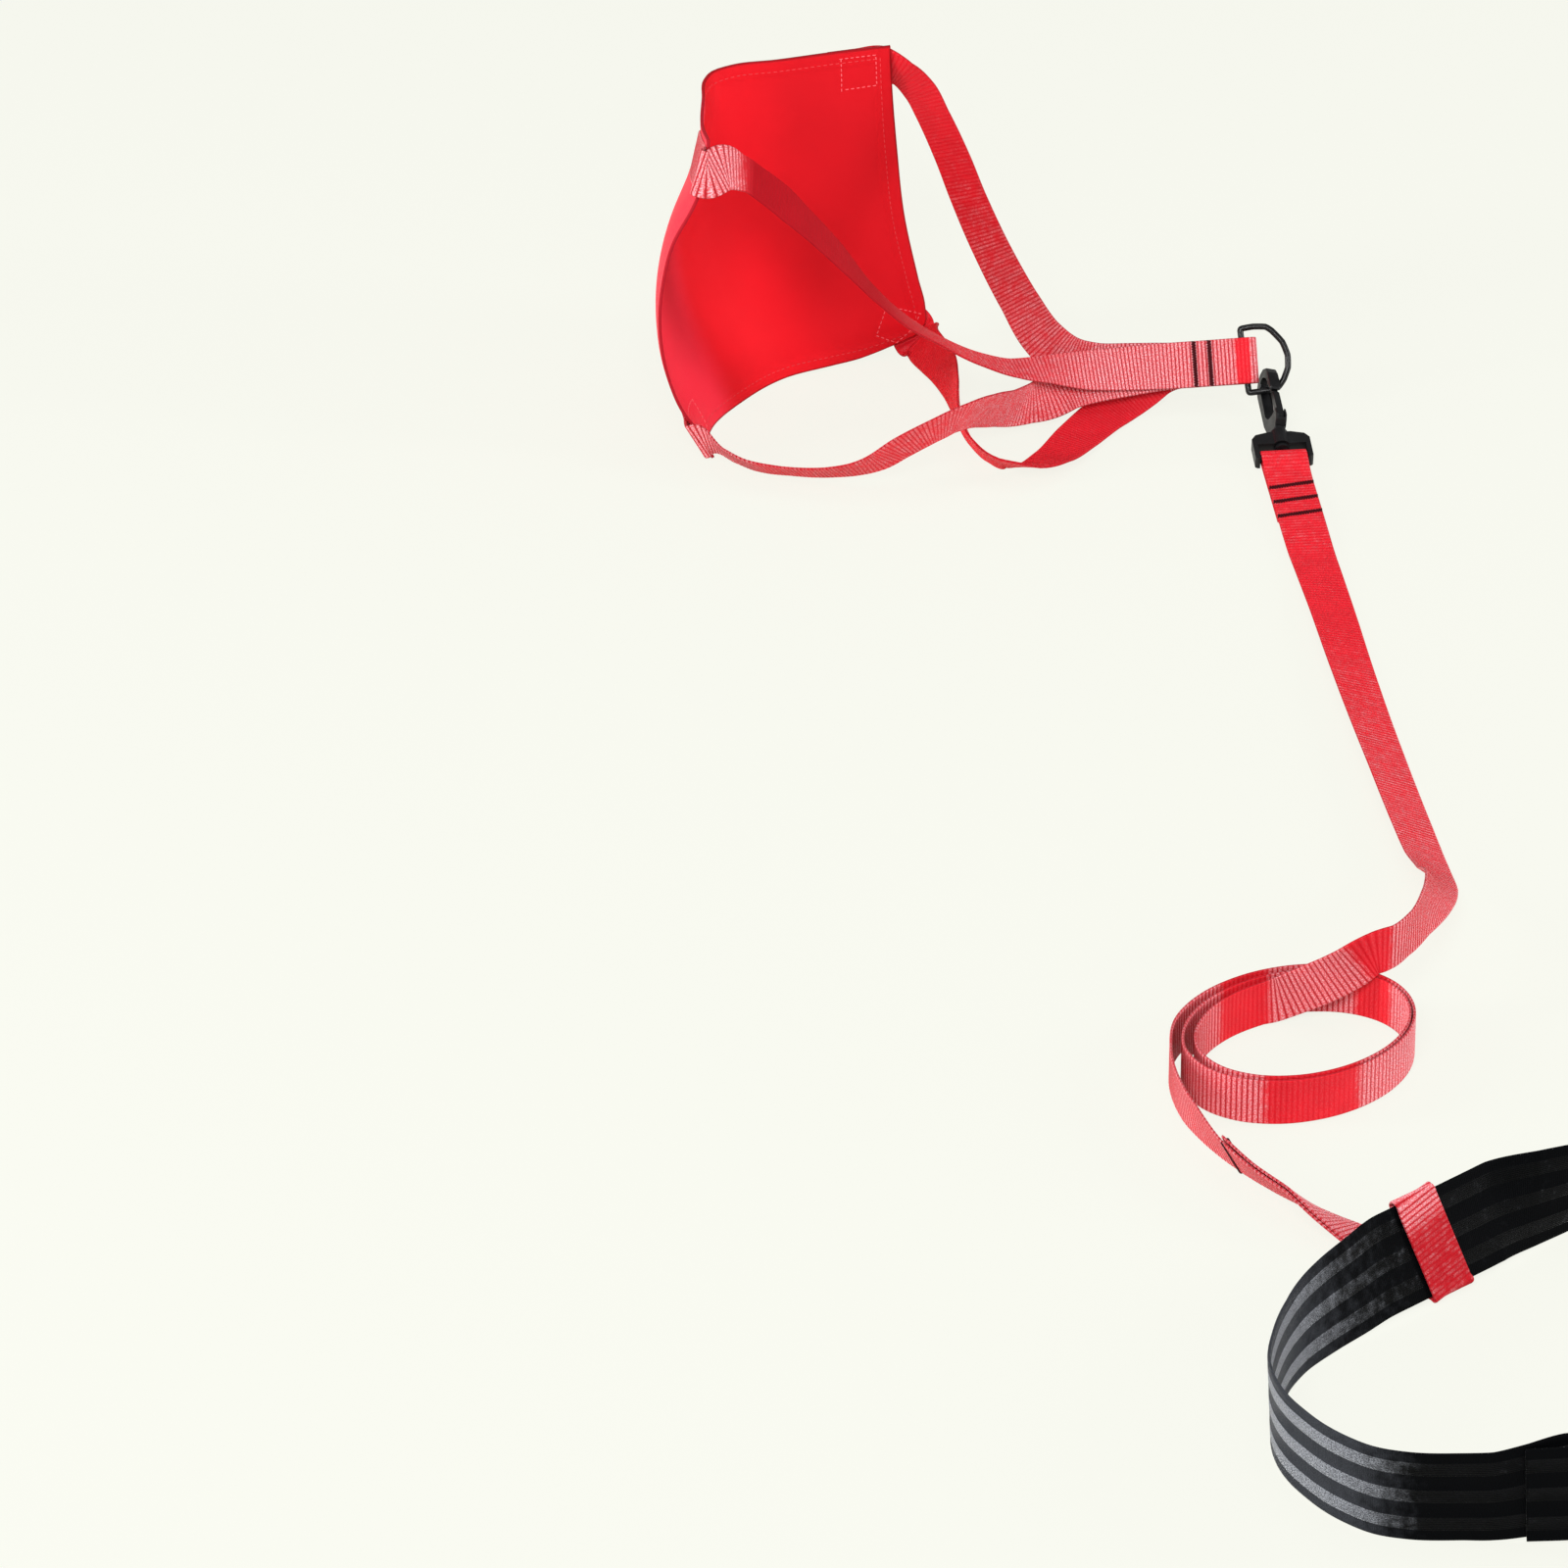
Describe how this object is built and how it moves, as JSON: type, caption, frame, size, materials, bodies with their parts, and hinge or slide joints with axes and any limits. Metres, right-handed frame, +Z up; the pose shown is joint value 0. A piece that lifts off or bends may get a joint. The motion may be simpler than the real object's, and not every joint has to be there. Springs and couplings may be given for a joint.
{
  "type": "swim resistance belt",
  "caption": "Webbing waist belt with a side-release buckle, a coiled red tether, a snap hook and a four-cornered cloth drag chute on a webbing bridle.",
  "frame": {"origin": "centre of the bounding box in plan, at the level of the table that the set lies on", "axes": "+Y from the waist belt to the drag chute, +Z up, +X to the right of that way as it is seen from above"},
  "size_m": [0.6944, 1.1512, 0.1945],
  "materials": {
    "black_webbing": "woven, slight sheen",
    "red_webbing": "woven with cross ribs, slight sheen",
    "red_cloth": "coated cloth, satin",
    "black_plastic": "moulded, satin",
    "black_wire": "black coated wire",
    "spring_steel": "satin"
  },
  "bodies": {
    "waist_belt": {"belt_webbing": "black_webbing", "belt_adjust_end": "black_webbing", "buckle_female": "black_plastic"},
    "buckle_plug": {"buckle_male": "black_plastic"},
    "prong_upper": {"buckle_prong_upper": "black_plastic"},
    "prong_lower": {"buckle_prong_lower": "black_plastic"},
    "tether_line": {"tether_webbing": "red_webbing", "bridle_strap_outer": "red_webbing", "bridle_strap_inner": "red_webbing", "chute_panel": "red_cloth"},
    "ring": {"d_ring": "black_wire"},
    "swivel": {"swivel_base": "black_plastic"},
    "hook": {"hook_body": "black_plastic", "gate_pin": "black_wire", "gate_spring": "spring_steel"},
    "gate": {"hook_gate": "black_plastic"}
  },
  "joints": [
    {"name": "plug_slide", "type": "slide", "parent": "waist_belt", "child": "buckle_plug", "axis": [-1, 0, 0], "range_m": [0, 0.028], "deforming": ["belt_adjust_end", "buckle_prong_upper", "buckle_prong_lower"]},
    {"name": "prong_upper_press", "type": "hinge", "parent": "buckle_plug", "child": "prong_upper", "pos_m": [0.1896, -0.5702, 0.05], "axis": [0, 1, 0], "range_deg": [0, 6], "stiffness_Nm_per_rad": 0.8},
    {"name": "prong_lower_press", "type": "hinge", "parent": "buckle_plug", "child": "prong_lower", "pos_m": [0.1896, -0.5702, 0.014], "axis": [0, -1, 0], "range_deg": [0, 6], "stiffness_Nm_per_rad": 0.8},
    {"name": "loop_slide", "type": "slide", "parent": "waist_belt", "child": "tether_line", "axis": [0.76, 0.65, 0], "range_m": [-0.01, 0.01]},
    {"name": "ring_swing", "type": "hinge", "parent": "tether_line", "child": "ring", "pos_m": [-0.0298, 0.5035, 0.0266], "axis": [-0.1392, 0.51, 0.8488], "range_deg": [-4, 4]},
    {"name": "base_swing", "type": "hinge", "parent": "tether_line", "child": "swivel", "pos_m": [-0.0108, 0.4375, 0.00415], "axis": [0.9945, 0.1045, 0], "range_deg": [-1, 0]},
    {"name": "hook_swivel", "type": "hinge", "parent": "swivel", "child": "hook", "pos_m": [-0.01142, 0.44339, 0.00509], "axis": [-0.1032, 0.9823, 0.1564], "range_deg": [-5, 5]},
    {"name": "gate_hinge", "type": "hinge", "parent": "hook", "child": "gate", "pos_m": [-0.01187, 0.46399, 0.0148], "axis": [-0.9564, -0.1412, 0.2556], "range_deg": [0, 21], "stiffness_Nm_per_rad": 0.05, "deforming": ["gate_spring"]}
  ]
}
